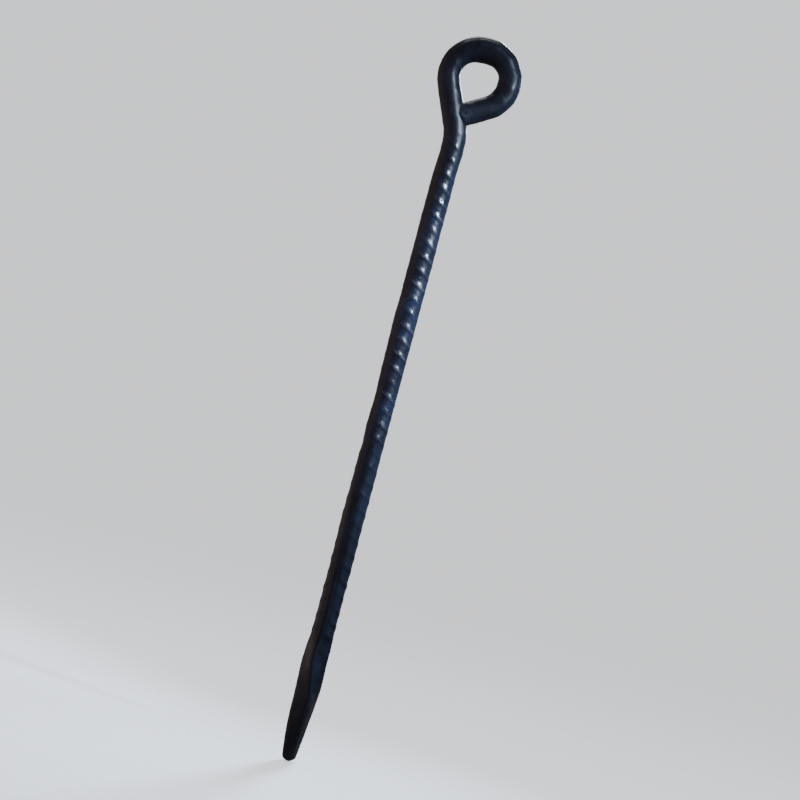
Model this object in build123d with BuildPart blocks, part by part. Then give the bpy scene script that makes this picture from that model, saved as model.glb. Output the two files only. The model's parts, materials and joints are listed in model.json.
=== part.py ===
"""Post anchor spike: one length of ribbed steel bar, with a forged point below and a bent eye above.

The spike stands upright in its own frame. +Z runs up the shank, and the eye lies in the XZ plane
and leans out towards +X. The origin is on the shank's axis at the ground line, the height the
spike is driven to, just below the bend of its neck. All lengths are in millimetres.
"""

import os
from math import asin, atan2, cos, degrees, hypot, radians, sin, sqrt, tan

from build123d import *

os.makedirs("parts", exist_ok=True)

# Bar stock
core_diameter = 13.6  # round core between the ribs
rib_height = 0.4  # how far the ribs stand out of the core
rib_pitch = 8.75  # least distance from one cross rib to the next
rib_width = 2.6
rib_slant = 26.0  # degrees that a cross rib leans out of the bar's cross-section
rib_end_angle = 80.0  # degrees each side of its middle where a cross rib sinks into the core
seam_rib_width = 2.8  # the two ribs that run along the bar
row_angle = -60.0  # degrees from +X to the middle of the front row of cross ribs

# Driven length
driven_depth = 381.0  # ground line to the end of the point
point_length = 76.0  # forged length, blend to the round bar included
blend_length = 10.0  # top of the forging, where the square turns round
straight_length = 12.0  # square length below the blend, before the taper starts
point_width = 12.3  # across the flats of the square
corner_share = 0.15  # corner radius of the square, as a share of its width
blunt_length = 2.0  # length of the sharp point that is missing at the blunt end

# Neck and eye
neck_height = 16.0  # ground line to where the axes of the shank and the leaning neck cross
neck_bend_radius = 25.0
eye_outer_diameter = 50.8
eye_height = 50.8  # ground line to the eye's centre
eye_offset = 5.7  # shank axis to the eye's centre
eye_rib_height = 0.2  # cross ribs pressed nearly flat where the bar was bent round its former
closing_angle = 60.0  # degrees below the horizontal where the eye's arc ends and its tail starts
closing_gap = 1.5  # left between the tail's cut end and the neck

# Closing weld
weld_proud = 0.7  # how far it stands out of the round core above and below
weld_recess = 0.8  # how far it sinks below the round core in front and behind

# Sizes that follow
core_radius = core_diameter / 2
bar_radius = core_radius + rib_height
eye_bar_radius = core_radius + eye_rib_height
eye_radius = eye_outer_diameter / 2 - eye_bar_radius
neck_rise = eye_height - neck_height
lean = asin(eye_radius / hypot(eye_offset, neck_rise)) - atan2(eye_offset, neck_rise)
neck_bend_tangent = neck_bend_radius * tan(lean / 2)
neck_length = eye_offset * -sin(lean) + neck_rise * cos(lean) - neck_bend_tangent
shank_bottom = point_length - driven_depth
shank_top = neck_height - neck_bend_tangent
rib_reach = core_radius * sin(radians(rib_end_angle)) * tan(radians(rib_slant))
rib_room = rib_reach + rib_width / 2 / cos(radians(rib_slant))
up = Vector(0, 0, 1)
back = Vector(0, 1, 0)


def bar_plane(centre, along):
    """Cross-section of the bar, with its x axis towards the middle of the front row of ribs."""
    across = back.cross(along)
    row = across * cos(radians(row_angle)) + back * sin(radians(row_angle))
    return Plane(origin=centre, x_dir=row, z_dir=along)


def rib_plane(centre, along):
    """Middle plane of one cross rib: the bar's cross-section turned about the row's middle."""
    section = bar_plane(centre, along)
    normal = section.z_dir * cos(radians(rib_slant)) + section.y_dir * sin(radians(rib_slant))
    return Plane(origin=centre, x_dir=section.x_dir, z_dir=normal)


def path_rib_plane(path, spot):
    """Middle plane of the cross rib at a distance along a bent stretch of bar."""
    centre = path.position_at(spot, position_mode=PositionMode.LENGTH)
    return rib_plane(centre, path.tangent_at(spot, position_mode=PositionMode.LENGTH))


def bar_profile():
    """Round core with the two seam ribs."""
    Circle(bar_radius)
    Rectangle(seam_rib_width, 2 * bar_radius, mode=Mode.INTERSECT)
    Circle(core_radius)


def rib_profile(height):
    """Two crescents back to back: full height mid-row, down to the core beside the seam ribs."""
    crest = core_radius + height
    to_end = core_radius * cos(radians(rib_end_angle))
    shift = (crest**2 - core_radius**2) / (2 * (crest - to_end))
    with Locations((shift, 0), (-shift, 0)):
        Ellipse(crest - shift, (crest - shift) / cos(radians(rib_slant)))


def even_spots(length):
    """Distances of the cross ribs along a stretch, the end ones just clear of its two ends."""
    span = length - 2 * rib_room
    gaps = int(span / rib_pitch)
    return [rib_room + index * span / gaps for index in range(gaps + 1)]


# Four-sided point, hammered out of the bar's end: an ogive with a blunt tip
taper_length = point_length - blend_length - straight_length
with BuildPart() as forged_point:
    for share in (0, 0.04, 0.12, 0.25, 0.42, 0.65, 1):
        above_tip = share * taper_length
        sharpness = 1 - (above_tip + blunt_length) / (taper_length + blunt_length)
        width = point_width * sqrt(1 - sharpness**2)
        with BuildSketch(Plane.XY.offset(above_tip - driven_depth)):
            RectangleRounded(width, width, corner_share * width, rotation=45)
    with BuildSketch(Plane.XY.offset(shank_bottom - blend_length)):
        RectangleRounded(point_width, point_width, corner_share * point_width, rotation=45)
    with BuildSketch(Plane.XY.offset(shank_bottom)):
        RectangleRounded(core_diameter, core_diameter, 0.49 * core_diameter, rotation=45)
    loft(ruled=True)
forged_point.part.label = "forged_point"
export_step(forged_point.part, "parts/forged_point.step")

# Straight ribbed shank, as the bar leaves the rolling mill
with BuildPart() as ribbed_shank:
    with BuildSketch(bar_plane((0, 0, shank_bottom), up)):
        bar_profile()
    extrude(amount=shank_top - shank_bottom)
    heights = [shank_bottom + spot for spot in even_spots(shank_top - shank_bottom)]
    with BuildSketch(*[rib_plane((0, 0, height), up) for height in heights]):
        rib_profile(rib_height)
    extrude(amount=rib_width / 2, both=True)
ribbed_shank.part.label = "ribbed_shank"
export_step(ribbed_shank.part, "parts/ribbed_shank.step")

# Bare bar of the neck, eye and tail: it leans back, runs round the eye and comes home to its neck
with BuildPart() as bent_bar:
    with BuildLine(Plane.XZ) as bar_path:
        bend = JernArc((0, shank_top), (0, 1), neck_bend_radius, degrees(lean))
        neck = Line(bend @ 1, bend @ 1 + neck_length * (bend % 1))
        eye = JernArc(neck @ 1, neck % 1, eye_radius, -(180 + degrees(lean) + closing_angle))
        flank = Vector(cos(lean), 0, sin(lean))
        reach = flank.dot(eye @ 1 - neck @ 0) - bar_radius - closing_gap
        tail = Line(eye @ 1, eye @ 1 - reach / flank.dot(eye % 1) * (eye % 1))
    with BuildSketch(bar_plane((0, 0, shank_top), up)):
        bar_profile()
    sweep(path=bar_path.wire())

# Weld bead that closes the eye: it fills the gap between the tail's cut end and the neck
with BuildPart() as eye_weld:
    with BuildSketch(Plane(origin=tail @ 1, x_dir=back, z_dir=tail % 1)):
        Ellipse(core_radius - weld_recess, core_radius + weld_proud)
    extrude(amount=bar_radius + closing_gap)
    add(bent_bar.part, mode=Mode.SUBTRACT)
eye_weld.part.label = "eye_weld"
export_step(eye_weld.part, "parts/eye_weld.step")

# Eye with its neck and tail: cross ribs all the way, melted off where the weld covers them
with BuildPart() as eye_loop:
    add(bent_bar.part)
    spots = even_spots(bar_path.wire().length)
    neck_spots = [spot for spot in spots if spot < bend.length + neck_length]
    for group, height in ((neck_spots, rib_height), (spots[len(neck_spots) :], eye_rib_height)):
        with BuildSketch(*[path_rib_plane(bar_path.wire(), spot) for spot in group]):
            rib_profile(height)
        extrude(amount=rib_width / 2, both=True)
    add(eye_weld.part, mode=Mode.SUBTRACT)
eye_loop.part.label = "eye_loop"
export_step(eye_loop.part, "parts/eye_loop.step")
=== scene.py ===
import json

import bpy
import numpy as np
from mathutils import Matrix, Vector


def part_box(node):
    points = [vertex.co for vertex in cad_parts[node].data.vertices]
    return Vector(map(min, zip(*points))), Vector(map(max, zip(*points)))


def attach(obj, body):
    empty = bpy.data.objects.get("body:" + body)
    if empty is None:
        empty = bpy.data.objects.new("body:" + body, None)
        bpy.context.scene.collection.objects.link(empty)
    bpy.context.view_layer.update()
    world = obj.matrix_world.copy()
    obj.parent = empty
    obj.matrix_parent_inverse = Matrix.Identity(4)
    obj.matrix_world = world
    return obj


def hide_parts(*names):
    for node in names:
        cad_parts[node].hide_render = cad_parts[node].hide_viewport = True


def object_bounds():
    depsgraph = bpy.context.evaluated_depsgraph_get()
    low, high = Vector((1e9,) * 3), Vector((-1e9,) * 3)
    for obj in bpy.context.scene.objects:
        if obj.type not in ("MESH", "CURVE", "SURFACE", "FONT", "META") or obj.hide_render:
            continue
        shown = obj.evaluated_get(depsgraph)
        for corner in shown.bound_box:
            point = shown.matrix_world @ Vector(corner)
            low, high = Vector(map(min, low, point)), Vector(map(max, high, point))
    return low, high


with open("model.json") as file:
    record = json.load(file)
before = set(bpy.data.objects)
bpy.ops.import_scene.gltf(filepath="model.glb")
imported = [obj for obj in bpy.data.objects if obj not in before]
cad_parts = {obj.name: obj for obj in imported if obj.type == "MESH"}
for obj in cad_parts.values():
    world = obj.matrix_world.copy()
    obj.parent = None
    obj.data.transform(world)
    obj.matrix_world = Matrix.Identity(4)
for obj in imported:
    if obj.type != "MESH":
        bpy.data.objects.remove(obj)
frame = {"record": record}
cad_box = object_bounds()

# ---------------------------------------------------------------------------------------------
# Forged point. The spike is one ribbed steel bar, dipped in blue-black enamel when finished. Its
# lower end was hammered hot to a four-sided taper with rounded corners and a blunt nose, and the
# blows pushed it to one side.
# ---------------------------------------------------------------------------------------------
# Distances along the bar are measured from the tip. A zone is where a change starts and ends.
mm = 0.001
core = 6.85 * mm  # radius of the round core
swelling = 0.22 * mm  # how much more the radius is on the upper bar
swelling_zone = 235 * mm, 285 * mm
wave_height, wave_size = 0.08 * mm, 22 * mm
mill_mark_height, mill_mark_size = 0.03 * mm, 6 * mm

rib_rise = 0.36 * mm
rib_pitch = 8.75 * mm
rib_foot = 2.7 * mm  # from a cross rib's crest line down to the core
rib_slant = np.radians(26)
rib_end = np.cos(np.radians(80))
rib_fullness = 0.6  # power under 1: a cross rib keeps its height nearly to its ends
one_rib = 273.6 * mm  # the front rib that the others are counted from
twist_zone = 90 * mm, 230 * mm
row_at_point, row_above = -10, -66  # degrees from +X to the middle of the front row
rib_slip = 0.45 * rib_pitch  # how far the twist has carried the ribs by the point
low_wear, low_wear_zone = 0.25, (190 * mm, 225 * mm)  # share of the ribs' height that is lost
neck_wear, neck_wear_zone = 0.45, (372 * mm, 392 * mm)
hammered_zone = 66 * mm, 84 * mm  # the ribs are gone below it
seam_rise = 0.32 * mm
seam_crest = 1.1 * mm
seam_foot = 1.8 * mm
crossing_rise = 0.3  # share of the lower of two ribs that is added where they cross

forged_half = 6.3 * mm
forged_zone = 68 * mm, 85 * mm  # where the square turns round
taper = 58 * mm
taper_power = 0.225  # small, so the taper stays full and then closes quickly
blunt = 2 * mm
nose = 3 * mm
shoulder_share, shoulder_at, shoulder_size = 0.10, 32 * mm, 11 * mm
ridge_at_tip, ridge_above, ridge_zone = 24, -16, (34 * mm, 70 * mm)  # degrees from +X to a corner
corner_sharpness = 6.2
corner_rub, corner_rub_zone = 0.9, (1.05, 1.25)  # the zone is radius over the flat's radius
smooth_nose_zone = 0, 12 * mm  # no hammer marks at the tip itself
blow_height, blow_size = 0.20 * mm, 15 * mm
tap_height, tap_size = 0.05 * mm, 5 * mm

# How far the bar is off its axis, sideways
tip_drift, tip_drift_zone = -0.75 * mm, (24 * mm, 42 * mm)
taper_drift, taper_drift_zone = -0.07 * mm, (70 * mm, 90 * mm)
shoulder_kick, shoulder_kick_at, shoulder_kick_size = -0.5 * mm, 62 * mm, 10 * mm
neck_kick, neck_kick_at, neck_kick_size = 0.7 * mm, 386 * mm, 9 * mm

# Dents and swellings along the left flank: place, size and height in mm
flank_turn = 180
flank_dents = [
    (120, 6, -0.25), (152, 12, 0.35), (200, 5, -0.6),
    (228, 9, -0.55), (278, 9, 0.35), (378, 8, -0.15),
]
# Nibs in the enamel: place in mm and turn in degrees
nibs = (224, -118), (260, -112), (305, -75), (188, -60), (131, -140), (296, 60)
nib_size, nib_height = 0.7 * mm, 0.16 * mm
# Burst bubble in the enamel: a raised ring round a pit
bubble_at, bubble_turn = 353.4 * mm, -69
bubble_size, bubble_height = 1.9 * mm, 0.22 * mm
pit_size, pit_height = 1.1 * mm, -0.34 * mm

sides = 112
nose_rings = 12
ring_gap = 0.4 * mm
hem = 0.02 * mm  # from a cut edge to the ring that keeps it crisp

tip_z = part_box("forged_point")[0].z
forging_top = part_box("forged_point")[1].z - tip_z
neck_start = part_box("ribbed_shank")[1].z - tip_z


def ease(low, high, value):
    """0 below low, 1 above high, with a soft start and end."""
    share = np.clip((value - low) / (high - low), 0, 1)
    return share * share * (3 - 2 * share)


def bar_place(along, angle):
    """Where a spot lies on the bar while it is still straight, so that lumps follow the bends."""
    return np.stack(np.broadcast_arrays(core * np.cos(angle), core * np.sin(angle), along), -1)


def lumps(along, angle, size, seed):
    """Smooth random lumps of about that size, between -1 and 1: a sum of waves in space."""
    draw = np.random.default_rng(seed)
    place = bar_place(along, angle)
    total = np.zeros(place.shape[:-1])
    for _ in range(14):
        way = draw.normal(size=3)
        way *= 2 * np.pi / (np.linalg.norm(way) * size * draw.uniform(0.7, 1.5))
        total += np.cos(place @ way + draw.uniform(0, 2 * np.pi))
    return np.clip(total / 5, -1, 1)


def row_turn(along):
    """Angle of the front rib row's middle. The lower half of the bar is twisted a little."""
    return np.radians(row_at_point + (row_above - row_at_point) * ease(*twist_zone, along))


def rolled_relief(along, angle):
    """How far the ribs stand out of the core. The hammer has taken them off the point."""
    phi = np.angle(np.exp(1j * (angle - row_turn(along))))
    front = np.abs(phi) < np.pi / 2
    swing = np.where(front, phi, -np.angle(-np.exp(1j * phi)))
    slip = rib_slip * (1 - ease(*twist_zone, along))
    stagger = np.where(front, 0, rib_pitch / 2)
    run = along - one_rib + slip + core * np.tan(rib_slant) * swing + stagger
    number = np.round(run / rib_pitch)
    off = np.abs(run - number * rib_pitch) * np.cos(rib_slant)
    fullness = np.clip((np.abs(np.cos(phi)) - rib_end) / (1 - rib_end), 0, 1) ** rib_fullness
    # no two ribs are quite the same height
    uneven = 1 + 0.14 * np.sin(number * 2.4 + 1) + 0.10 * np.sin(number * 5.1)
    cross = rib_rise * fullness * uneven * (1 - ease(0, rib_foot, off))
    seam_off = core * np.abs(np.abs(phi) - np.pi / 2)
    seam = seam_rise * (1 - ease(seam_crest, seam_foot, seam_off))
    relief = np.maximum(cross, seam) + crossing_rise * np.minimum(cross, seam)
    left = 1 - low_wear * (1 - ease(*low_wear_zone, along)) - neck_wear * ease(*neck_wear_zone, along)
    return relief * left * ease(*hammered_zone, along)


def bell(along, middle, width):
    """1 at the middle, falling away smoothly over about that width each side."""
    return np.exp(-(((along - middle) / width) ** 2))


def knock(along, angle, where, turn, size, height):
    """One dent or lump of that size, with its middle at a spot on the bar."""
    gap = np.hypot(along - where, core * np.angle(np.exp(1j * (angle - np.radians(turn)))))
    return height * np.exp(-((gap / size) ** 2))


def forged_taper(along, angle):
    """Radius of the hammered taper: a rounded square that turns a little as it runs up."""
    width = forged_half * np.clip((along + blunt) / (taper + blunt), 0, 1) ** taper_power
    width = width * (1 + shoulder_share * bell(along, shoulder_at, shoulder_size))
    width = width * np.sqrt(1 - (1 - np.clip(along / nose, 0, 1)) ** 2)
    ridge_turn = np.radians(ridge_at_tip + (ridge_above - ridge_at_tip) * ease(*ridge_zone, along))
    flats = [angle - ridge_turn + np.pi / 4 + face * np.pi / 2 for face in range(4)]
    facing = [np.clip(np.cos(flat), 0, 1) for flat in flats]
    radius = width / sum(side**corner_sharpness for side in facing) ** (1 / corner_sharpness)
    hammered = ease(*smooth_nose_zone, along)
    radius = radius + hammered * blow_height * lumps(along, angle, blow_size, 11)
    return radius + hammered * tap_height * lumps(along, angle, tap_size, 12), radius / width


def bar_surface(along, angle):
    """Radius of the bar everywhere, and how much of a crest that spot is, for the rubbed paint."""
    relief = rolled_relief(along, angle)
    radius = core + swelling * ease(*swelling_zone, along) + relief
    radius += wave_height * lumps(along, angle, wave_size, 3)
    radius += mill_mark_height * lumps(along, angle, mill_mark_size, 4)
    for where, size, height in flank_dents:
        radius += knock(along, angle, where * mm, flank_turn, size * mm, height * mm)
    for where, turn in nibs:
        radius += knock(along, angle, where * mm, turn, nib_size, nib_height)
    radius += knock(along, angle, bubble_at, bubble_turn, bubble_size, bubble_height)
    radius += knock(along, angle, bubble_at, bubble_turn, pit_size, pit_height)
    forged, corners = forged_taper(along, angle)
    share = 1 - ease(*forged_zone, along)
    crest = np.maximum(relief / rib_rise, corner_rub * share * ease(*corner_rub_zone, corners))
    return radius + share * (forged - radius), crest


def grow_bar(name, along, radius, crest, centre, across):
    """Closed mesh of a stretch of bar: a ring of corners at each step and a flat cap at each end."""
    steps = len(along)
    angle = np.arange(sides) * 2 * np.pi / sides
    to_side, to_back = np.cos(angle)[None, :, None], np.sin(angle)[None, :, None]
    out = to_side * across[:, None, :] + to_back * np.array([0, 1, 0])
    ring = centre[:, None, :] + radius[..., None] * out
    corner = np.arange(steps * sides).reshape(steps, sides)
    beside = np.roll(corner, -1, axis=1)
    skin = np.stack([corner[:-1], beside[:-1], beside[1:], corner[1:]], -1).reshape(-1, 4).tolist()
    first, last = steps * sides, steps * sides + 1
    caps = [(first, b, a) for a, b in zip(corner[0].tolist(), beside[0].tolist())]
    caps += [(last, a, b) for a, b in zip(corner[-1].tolist(), beside[-1].tolist())]
    corners = np.concatenate([ring.reshape(-1, 3), ring[0].mean(0)[None], ring[-1].mean(0)[None]])
    mesh = bpy.data.meshes.new(name)
    mesh.from_pydata(corners.tolist(), [], skin + caps)
    mesh.polygons.foreach_set("use_smooth", [True] * len(skin) + [False] * len(caps))
    rubbed = mesh.attributes.new("crest", "FLOAT", "POINT")
    rubbed.data.foreach_set("value", np.append(crest.ravel(), [0, 0]).astype(np.float32))
    spots = bar_place(along[:, None], angle[None, :]).reshape(-1, 3)
    spots = np.concatenate([spots, spots[:1], spots[-1:]])
    place = mesh.attributes.new("bar_place", "FLOAT_VECTOR", "POINT")
    place.data.foreach_set("vector", spots.ravel().astype(np.float32))
    piece = bpy.data.objects.new(name, mesh)
    bpy.context.scene.collection.objects.link(piece)
    return piece


def drift(along):
    """How far the bar wanders sideways: where it was forged, and where the neck's bend kicked it."""
    wander = tip_drift + (taper_drift - tip_drift) * ease(*tip_drift_zone, along)
    wander = wander - taper_drift * ease(*taper_drift_zone, along)
    wander = wander + shoulder_kick * bell(along, shoulder_kick_at, shoulder_kick_size)
    return wander + neck_kick * bell(along, neck_kick_at, neck_kick_size)


def ring_places(start, end):
    """Even steps along a stretch, with a ring close to each cut end that keeps its edge crisp."""
    steps = round((end - start) / ring_gap)
    return np.concatenate([[start], np.linspace(start + hem, end - hem, steps), [end]])


def straight_bar(along):
    """Centre line and sideways direction of the bar below its neck."""
    centre = np.stack([drift(along), along * 0, tip_z + along], -1)
    return centre, np.tile([1.0, 0.0, 0.0], (len(along), 1))


def new_group(name, inputs, outputs):
    """A shader node group with its named sockets, and its ends for linking."""
    group = bpy.data.node_groups.new(name, "ShaderNodeTree")
    for label, kind in inputs:
        group.interface.new_socket(label, in_out="INPUT", socket_type="NodeSocket" + kind)
    for label, kind in outputs:
        group.interface.new_socket(label, in_out="OUTPUT", socket_type="NodeSocket" + kind)
    return group, group.nodes.new("NodeGroupInput").outputs, group.nodes.new("NodeGroupOutput").inputs


def add_node(tree, kind, sockets, **settings):
    """One shader node. Each socket is linked if it is given another node's output, or else set."""
    node = tree.nodes.new("ShaderNode" + kind)
    for key, value in settings.items():
        setattr(node, key, value)
    for socket, value in sockets.items():
        if isinstance(value, bpy.types.NodeSocket):
            tree.links.new(value, node.inputs[socket])
        else:
            node.inputs[socket].default_value = value
    return node


def cloud(tree, place, per_metre, detail, roughness=0.55):
    """Soft random patches, with about that many to the metre."""
    sockets = {"Vector": place, "Scale": per_metre, "Detail": detail, "Roughness": roughness}
    return add_node(tree, "TexNoise", sockets).outputs["Fac"]


def step(tree, value, low, high, from_value=0.0, to_value=1.0):
    """A smooth change from from_value to to_value, as value rises from low to high."""
    sockets = {"Value": value, "From Min": low, "From Max": high}
    sockets.update({"To Min": from_value, "To Max": to_value})
    return add_node(tree, "MapRange", sockets, interpolation_type="SMOOTHSTEP").outputs["Result"]


def times(tree, first, second):
    return add_node(tree, "Math", {0: first, 1: second}, operation="MULTIPLY").outputs[0]


def plus(tree, first, second):
    return add_node(tree, "Math", {0: first, 1: second}, operation="ADD").outputs[0]


def mixed(tree, share, first, second):
    """Two colours mixed. Sockets 6 and 7 are the Mix node's colours, and output 2 is the result."""
    return add_node(tree, "Mix", {"Factor": share, 6: first, 7: second}, data_type="RGBA").outputs[2]


# Dipped enamel, thin over mill scale: soft lumps and runs, and a blue-black that is uneven.
dip, dip_in, dip_out = new_group(
    "dipped_enamel",
    [("Place", "Vector"), ("Deep Colour", "Color"), ("Thin Colour", "Color"), ("Thinness", "Float")],
    [("Colour", "Color"), ("Dullness", "Float"), ("Height", "Float")],
)
patch_scale, dull_scale, run_scale, swirl_scale, grain_scale = 55, 120, 260, 240, 900  # per metre
run_stretch = (1, 1, 0.16)
patch_share, grain_share = 0.65, 0.35
thin_range, dull_range = (0.42, 0.66), (0.3, 0.75)
stretched = add_node(dip, "VectorMath", {0: dip_in["Place"], 1: run_stretch}, operation="MULTIPLY")
patches = cloud(dip, dip_in["Place"], patch_scale, 4.0)
runs = cloud(dip, stretched.outputs[0], run_scale, 3.0)
thin = plus(dip, times(dip, patches, patch_share), times(dip, runs, 1 - patch_share))
thin = step(dip, thin, *thin_range)
thin = times(dip, thin, dip_in["Thinness"])
dip.links.new(mixed(dip, thin, dip_in["Deep Colour"], dip_in["Thin Colour"]), dip_out["Colour"])
dull = step(dip, cloud(dip, dip_in["Place"], dull_scale, 5.0), *dull_range)
dip.links.new(dull, dip_out["Dullness"])
grain = times(dip, cloud(dip, dip_in["Place"], grain_scale, 4.0, 0.6), grain_share)
dip.links.new(plus(dip, grain, cloud(dip, dip_in["Place"], swirl_scale, 2.0)), dip_out["Height"])

# Rubbing: where crests and corners get knocked, the enamel is dull, or gone down to the scale.
rub, rub_in, rub_out = new_group(
    "rubbed_crests",
    [("Place", "Vector"), ("Crest", "Float"), ("Amount", "Float")],
    [("Dulled", "Float"), ("Bared", "Float")],
)
scuff_scale = 420
scuff_share, crest_share, amount_share = 0.6, 0.5, 0.3
dulled_range, bared_range = (0.72, 1.0), (1.02, 1.06)
rubbed = times(rub, cloud(rub, rub_in["Place"], scuff_scale, 6.0, 0.62), scuff_share)
rubbed = plus(rub, rubbed, times(rub, rub_in["Crest"], crest_share))
rubbed = plus(rub, rubbed, times(rub, rub_in["Amount"], amount_share))
rub.links.new(step(rub, rubbed, *dulled_range), rub_out["Dulled"])
rub.links.new(step(rub, rubbed, *bared_range), rub_out["Bared"])


dulled_blue = (0.016, 0.018, 0.024, 1)
mill_scale = (0.075, 0.060, 0.052, 1)
patchy_dullness = 0.14
rubbed_dullness = 0.10
eye_dullness, eye_dull_zone = 0.12, (372 * mm, 415 * mm)  # the eye is duller than the shank


def enamel(name, deep, thin_colour, thinness, rubbing, gloss, grain_depth):
    """The finish of one piece, mixed from the two groups above."""
    material = bpy.data.materials.new(name)
    material.use_nodes = True
    tree = material.node_tree
    shader = tree.nodes["Principled BSDF"].inputs
    place = add_node(tree, "Attribute", {}, attribute_name="bar_place").outputs["Vector"]
    crest = add_node(tree, "Attribute", {}, attribute_name="crest").outputs["Fac"]
    coat = add_node(tree, "Group", {}, node_tree=dip)
    wear = add_node(tree, "Group", {}, node_tree=rub)
    tree.links.new(place, coat.inputs["Place"])
    tree.links.new(place, wear.inputs["Place"])
    tree.links.new(crest, wear.inputs["Crest"])
    coat.inputs["Deep Colour"].default_value = (*deep, 1)
    coat.inputs["Thin Colour"].default_value = (*thin_colour, 1)
    coat.inputs["Thinness"].default_value = thinness
    wear.inputs["Amount"].default_value = rubbing
    colour = mixed(tree, wear.outputs["Dulled"], coat.outputs["Colour"], dulled_blue)
    colour = mixed(tree, wear.outputs["Bared"], colour, mill_scale)
    tree.links.new(colour, shader["Base Color"])
    rough = step(tree, coat.outputs["Dullness"], 0.0, 1.0, gloss, gloss + patchy_dullness)
    up_bar = add_node(tree, "SeparateXYZ", {"Vector": place}).outputs["Z"]
    rough = plus(tree, rough, step(tree, up_bar, *eye_dull_zone, 0.0, eye_dullness))
    rough = plus(tree, rough, times(tree, wear.outputs["Dulled"], rubbed_dullness))
    tree.links.new(rough, shader["Roughness"])
    shader["Specular IOR Level"].default_value = 0.4
    skin = {"Height": coat.outputs["Height"], "Strength": grain_depth, "Distance": 0.2 * mm}
    tree.links.new(add_node(tree, "Bump", skin).outputs["Normal"], shader["Normal"])
    return material


blue_black = (0.0032, 0.0036, 0.0072)
thin_blue = (0.0070, 0.0096, 0.0220)
bar_finish = {"thinness": 0.8, "rubbing": 0.30, "gloss": 0.25, "grain_depth": 0.45}

ring_angle = np.arange(sides)[None, :] * 2 * np.pi / sides
point_along = np.concatenate([
    nose * (1 - np.cos(np.linspace(0, np.pi / 2, nose_rings)[1:-1])),
    ring_places(nose, forging_top),
])
point = grow_bar("point_forging", point_along, *bar_surface(point_along[:, None], ring_angle),
                 *straight_bar(point_along))
point.data.materials.append(enamel("point_enamel", blue_black, thin_blue, **bar_finish))
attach(point, "root")
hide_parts("forged_point")

# ---------------------------------------------------------------------------------------------
# Straight shank. The bar as it left the mill: a round core, two rows of slanted crescent ribs,
# and two seam ribs where the rolls met. Enamel has filled the feet of the ribs.
# ---------------------------------------------------------------------------------------------
shank_along = ring_places(forging_top, neck_start)
shank = grow_bar("shank_bar", shank_along, *bar_surface(shank_along[:, None], ring_angle),
                 *straight_bar(shank_along))
shank.data.materials.append(enamel("shank_enamel", blue_black, thin_blue, **bar_finish))
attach(shank, "root")
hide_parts("ribbed_shank")

# ---------------------------------------------------------------------------------------------
# Neck, eye and tail. The top of the bar, bent cold: it leans back, runs clockwise round a former
# and comes home to its own neck. The former pressed the ribs down inside the bend.
# ---------------------------------------------------------------------------------------------
eye_mount = next(mount for mount in frame["record"]["mounts"] if mount["name"] == "eye")
eye_x, eye_z = eye_mount["pos_m"][0], eye_mount["pos_m"][2]
eye_bar = 7.0 * mm  # radius of the bar over its pressed ribs
eye_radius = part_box("eye_loop")[1].z - eye_z - eye_bar
neck_cross = 16 * mm  # where the axes of the shank and the leaning neck cross
neck_bend = 25 * mm
closing_turn = np.radians(60)  # below the horizontal, where the eye's arc ends and its tail starts
closing_gap = 1.5 * mm
inside_bulge, bulge_at, bulge_size = 2.4 * mm, np.radians(112), np.radians(42)
tail_bulge, tail_bulge_zone = 0.6 * mm, (np.radians(180), np.radians(205))
facet_corners = 128, 158, 188  # degrees round the eye, where one pull of the bend met the next
facet_rise, facet_size = 0.3 * mm, np.radians(7)
pressing = 0.22 * mm  # how much less the radius is round the eye
outside_gain, inside_loss = 1.1, 0.35  # of the ribs' height, round the outside and inside of the bend
former_mark_height, former_mark_size = 0.10 * mm, 9 * mm
cut_round, cut_round_depth = 1.2 * mm, 0.8 * mm

neck_rise = eye_z - neck_cross
lean = np.arcsin(eye_radius / np.hypot(eye_x, neck_rise)) - np.arctan2(eye_x, neck_rise)
bend_tangent = neck_bend * np.tan(lean / 2)
neck_run = neck_rise * np.cos(lean) - eye_x * np.sin(lean) - bend_tangent
stretches = [(neck_bend * lean, 1 / neck_bend), (neck_run, 0),
             (eye_radius * (np.pi + lean + closing_turn), -1 / eye_radius)]
tail_x = eye_x + eye_radius * np.cos(closing_turn)
tail_z = eye_z - eye_radius * np.sin(closing_turn)
to_neck = tail_x * np.cos(lean) + (tail_z - neck_cross) * np.sin(lean) - core - rib_rise - closing_gap
stretches.append((to_neck / np.sin(closing_turn + lean), 0))
eye_length = sum(length for length, curve in stretches)


def bent_bar(along):
    """Centre line and sideways direction from the neck on, from each stretch and its curvature."""
    centre, across = [], []
    for distance in along - neck_start:
        x, z, heading = 0.0, tip_z + neck_start, np.pi / 2
        for length, curve in stretches:
            part = min(max(distance, 0), length)
            distance -= part
            turned = heading + part * curve
            if curve:
                x += (np.sin(turned) - np.sin(heading)) / curve
                z += (np.cos(heading) - np.cos(turned)) / curve
            else:
                x += part * np.cos(heading)
                z += part * np.sin(heading)
            heading = turned
        centre.append((x, 0, z))
        across.append((np.sin(heading), 0, -np.cos(heading)))
    centre = np.array(centre)
    centre[:, 0] += drift(along)
    return centre, np.array(across)


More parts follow.
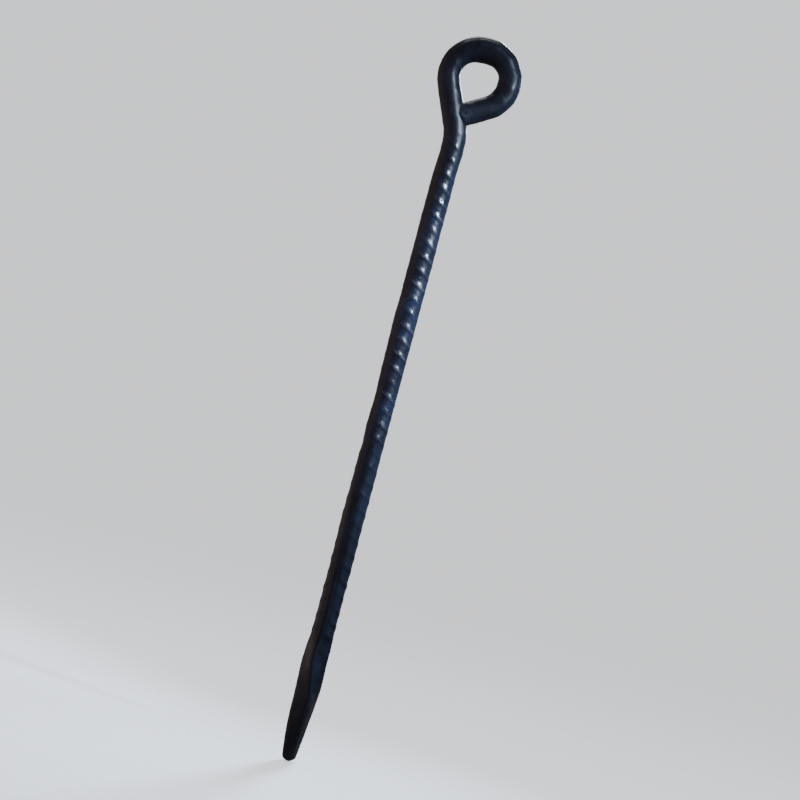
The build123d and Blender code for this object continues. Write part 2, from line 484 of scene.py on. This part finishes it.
eye_along = ring_places(neck_start, neck_start + eye_length)
neck_end = neck_start + stretches[0][0] + stretches[1][0]
eye_side, eye_crest = bar_surface(eye_along[:, None], ring_angle)
eye_arc = (eye_along[:, None] - neck_end) / eye_radius
pressed_zone = neck_end - 8 * mm, neck_end + 6 * mm
pressed = ease(*pressed_zone, eye_along[:, None])
inner = np.clip(np.cos(ring_angle), 0, 1)
outer = np.clip(-np.cos(ring_angle), 0, 1)
rib_change = pressed * (outer * outside_gain - inside_loss)
eye_side = eye_side + rib_change * rolled_relief(eye_along[:, None], ring_angle)
eye_side += inside_bulge * inner**2 * bell(eye_arc, bulge_at, bulge_size)
eye_side += tail_bulge * inner**2 * ease(*tail_bulge_zone, eye_arc)
for turn in facet_corners:
    eye_side += facet_rise * outer * bell(eye_arc, np.radians(turn), facet_size)
eye_side -= pressed * pressing
eye_side += pressed * former_mark_height * lumps(eye_along[:, None], ring_angle, former_mark_size, 21)
to_cut = np.clip((eye_along[-1] - eye_along) / cut_round, 0, 1)
eye_side = eye_side - (cut_round_depth * (1 - np.sqrt(1 - (1 - to_cut) ** 2)))[:, None]
eye = grow_bar("eye_bar", eye_along, eye_side, eye_crest, *bent_bar(eye_along))
eye.data.materials.append(enamel("eye_enamel", blue_black, thin_blue, **bar_finish))
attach(eye, "root")
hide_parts("eye_loop")

# ---------------------------------------------------------------------------------------------
# Closing weld. The bead runs round the tail's cut end and draws in against the neck. Each ripple
# is one stop of the weld pool, and the same enamel has half filled them.
# ---------------------------------------------------------------------------------------------
bead_start, bead_end = -5.2 * mm, 8.0 * mm  # from the tail's cut end
bead_rings = 150
bead_sink = 0.05 * mm
bead_lead_in, lead_in_depth = 0.6 * mm, 0.7 * mm
draw_in_start, draw_in_depth = 3.0 * mm, 1.2 * mm
ripple_gap, ripple_height = 1.05 * mm, 0.08 * mm
ripple_power, ripple_fade, ripple_rub = 0.7, 0.6, 0.4
ripple_wander, ripple_wander_size = 0.3 * mm, 8 * mm
bead_lump_height, bead_lump_size = 0.14 * mm, 3.5 * mm
tail_centre, tail_across = bent_bar(eye_along[-1:])
tail_way = np.array([-tail_across[0][2], 0, tail_across[0][0]])
bead_steps = np.linspace(bead_start, bead_end, bead_rings)[:, None]
sway = ripple_wander * lumps(bead_steps * 0, ring_angle, ripple_wander_size, 30)
ripple = np.abs(np.cos(np.pi * (bead_steps + sway) / ripple_gap)) ** ripple_power
draw_in = ease(draw_in_start, bead_end, bead_steps)
bead = core - bead_sink - draw_in_depth * draw_in
bead = bead + ripple_height * ripple * (1 - ripple_fade * draw_in)
bead = bead - lead_in_depth * (1 - ease(bead_start, bead_start + bead_lead_in, bead_steps))
bead = bead + tail_bulge * inner**2
bead = bead + bead_lump_height * lumps(bead_steps, ring_angle, bead_lump_size, 31)
weld_finish = {"thinness": 0.6, "rubbing": 0.25, "gloss": 0.36, "grain_depth": 0.5}
weld = grow_bar("weld_bead", bead_steps[:, 0] + eye_along[-1], bead, ripple_rub * ripple,
                tail_centre + bead_steps * tail_way, np.repeat(tail_across, len(bead_steps), 0))
weld.data.materials.append(enamel("weld_enamel", blue_black, thin_blue, **weld_finish))
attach(weld, "root")
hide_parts("eye_weld")

# ---------------------------------------------------------------------------------------------
# Floor and backdrop: one seamless pale bowl round the spike, so that every side has the same
# plain ground behind it.
# ---------------------------------------------------------------------------------------------
bowl_radius = 6.0
bowl_bend = 2.5
bowl_height = 4.5
flat_radius = bowl_radius - bowl_bend
outline = []
for turn in np.linspace(0, np.pi / 2, 14):
    outline.append((flat_radius + bowl_bend * np.sin(turn), bowl_bend * (1 - np.cos(turn))))
outline.append((bowl_radius, bowl_height))
around = 96
floor_z = cad_box[0][2]
bowl_points = [(0, 0, floor_z)]
for out, rise in outline:
    for turn in np.arange(around) * 2 * np.pi / around:
        bowl_points.append((out * np.cos(turn), out * np.sin(turn), floor_z + rise))
bowl_faces = []
for side in range(around):
    beside = (side + 1) % around
    bowl_faces.append((0, 1 + side, 1 + beside))
    for level in range(len(outline) - 1):
        low, high = 1 + level * around, 1 + (level + 1) * around
        bowl_faces.append((low + side, high + side, high + beside, low + beside))
bowl_mesh = bpy.data.meshes.new("backdrop")
bowl_mesh.from_pydata(bowl_points, [], bowl_faces)
bowl_mesh.shade_smooth()
backdrop = bpy.data.objects.new("backdrop", bowl_mesh)
bpy.context.scene.collection.objects.link(backdrop)
backdrop.visible_glossy = False
backdrop.visible_diffuse = False
paper = bpy.data.materials.new("backdrop_paper")
paper.use_nodes = True
paper_finish = {
    "Base Color": (0.62, 0.63, 0.64, 1),
    "Roughness": 0.95,
    "Specular IOR Level": 0.1,
    "Emission Color": (0.96, 0.98, 1.0, 1),
    "Emission Strength": 0.8,
}
for socket, value in paper_finish.items():
    paper.node_tree.nodes["Principled BSDF"].inputs[socket].default_value = value
bowl_mesh.materials.append(paper)

# ---------------------------------------------------------------------------------------------
# Studio light: an even sky, dim in reflections so that the enamel stays dark, a small key whose
# narrow beam puts the glints on the upper ribs, a warm panel on the left and a cool one on the
# right, a low and a high fill, a second key for the back, and one high behind for the upper rims.
# ---------------------------------------------------------------------------------------------
sky = bpy.data.worlds.new("studio")
bpy.context.scene.world = sky
sky.use_nodes = True
sky_light = sky.node_tree.nodes["Background"].inputs
sky_light["Color"].default_value = (0.96, 0.95, 1.0, 1)
mirrored = add_node(sky.node_tree, "LightPath", {}).outputs["Is Glossy Ray"]
sky_power, mirrored_power = 0.42, 0.17
sky_strength = step(sky.node_tree, mirrored, 0.0, 1.0, sky_power, mirrored_power)
sky.node_tree.links.new(sky_strength, sky_light["Strength"])
lit_middle = 288 * mm


def softbox(name, turn, rise, distance, width, height, power, colour, spread=180):
    """A lamp aimed at the upper shank, from turn degrees to the right of the camera and rise
    degrees up. Its distance and size are in metres, and its power is in watts."""
    lamp = bpy.data.lights.new(name, "AREA")
    lamp.shape = "RECTANGLE"
    lamp.size = width
    lamp.size_y = height
    lamp.energy = power
    lamp.color = colour
    lamp.spread = np.radians(spread)
    holder = bpy.data.objects.new(name, lamp)
    turn, rise = np.radians(turn), np.radians(rise)
    away = Vector((np.sin(turn) * np.cos(rise), -np.cos(turn) * np.cos(rise), np.sin(rise)))
    holder.location = Vector((0, 0, tip_z + lit_middle)) + away * distance
    holder.rotation_euler = away.to_track_quat("Z", "Y").to_euler()
    holder.visible_camera = False
    bpy.context.scene.collection.objects.link(holder)


softbox("key", 50, 28, 0.64, 0.08, 0.08, 0.62, (0.64, 0.79, 1.0), spread=27)
softbox("warm_side", -90, -2, 0.85, 1.5, 1.1, 2.0, (1.0, 0.68, 0.60))
softbox("cool_side", 100, 12, 0.85, 1.3, 0.9, 2.1, (0.16, 0.42, 1.0))
softbox("low_fill", 50, -12, 1.0, 1.1, 0.35, 1.1, (0.24, 0.44, 1.0))
softbox("high_fill", 15, 52, 0.9, 0.5, 0.4, 0.9, (0.24, 0.48, 1.0))
softbox("back_key", 170, 27, 0.64, 0.08, 0.25, 2.4, (0.64, 0.79, 1.0), spread=60)
softbox("top_rim", -165, 62, 1.0, 0.6, 0.35, 6.0, (0.90, 0.95, 1.0))

# ---------------------------------------------------------------------------------------------
# Camera: square on to the eye through a long lens, rolled so that the shank leans to the right.
# ---------------------------------------------------------------------------------------------
lens = 150 * mm
film = 36 * mm
view_width = 487.9 * mm
look_at = Vector((9.1 * mm, 0, tip_z + 230.3 * mm))
roll = np.radians(14.843)
camera = bpy.data.objects.new("camera", bpy.data.cameras.new("camera"))
camera.data.lens = lens / mm
camera.data.sensor_width = film / mm
camera.location = look_at - Vector((0, view_width / film * lens, 0))
camera.rotation_euler = (np.pi / 2, -roll, 0)
bpy.context.scene.collection.objects.link(camera)
bpy.context.scene.camera = camera
